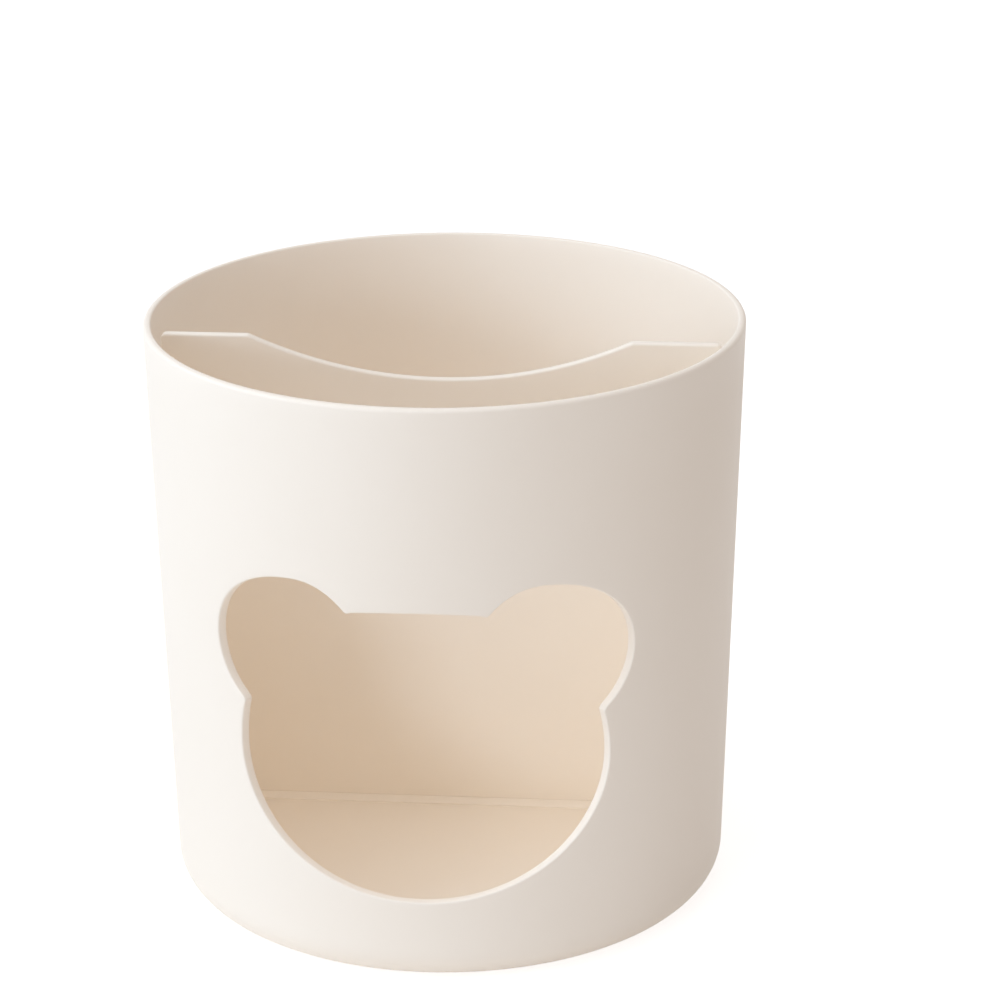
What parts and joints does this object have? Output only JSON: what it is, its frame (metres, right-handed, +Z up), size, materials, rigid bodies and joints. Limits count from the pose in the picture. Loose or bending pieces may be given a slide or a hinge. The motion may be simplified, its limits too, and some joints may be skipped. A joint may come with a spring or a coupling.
{
  "type": "pen holder",
  "caption": "Round, slightly tapered desk cup with a bear-head window in its front wall and a loose leaning divider with a scooped top.",
  "frame": {"origin": "middle of the foot ring, on the surface that the cup stands on", "axes": "+Z up along the cup's axis, -Y out through the middle of the window, +X to the viewer's right"},
  "size_m": [0.1, 0.1, 0.1],
  "materials": {
    "cup_plastic": "fine matte, warm ivory",
    "divider_plastic": "fine matte, warm ivory"
  },
  "bodies": {
    "cup": {"cup_body": "cup_plastic"},
    "divider": {"divider_panel": "divider_plastic"}
  },
  "joints": [
    {"name": "divider_lift", "type": "slide", "parent": "cup", "child": "divider", "axis": [0, -0.2588, 0.9659], "range_m": [0, 0.105]}
  ]
}
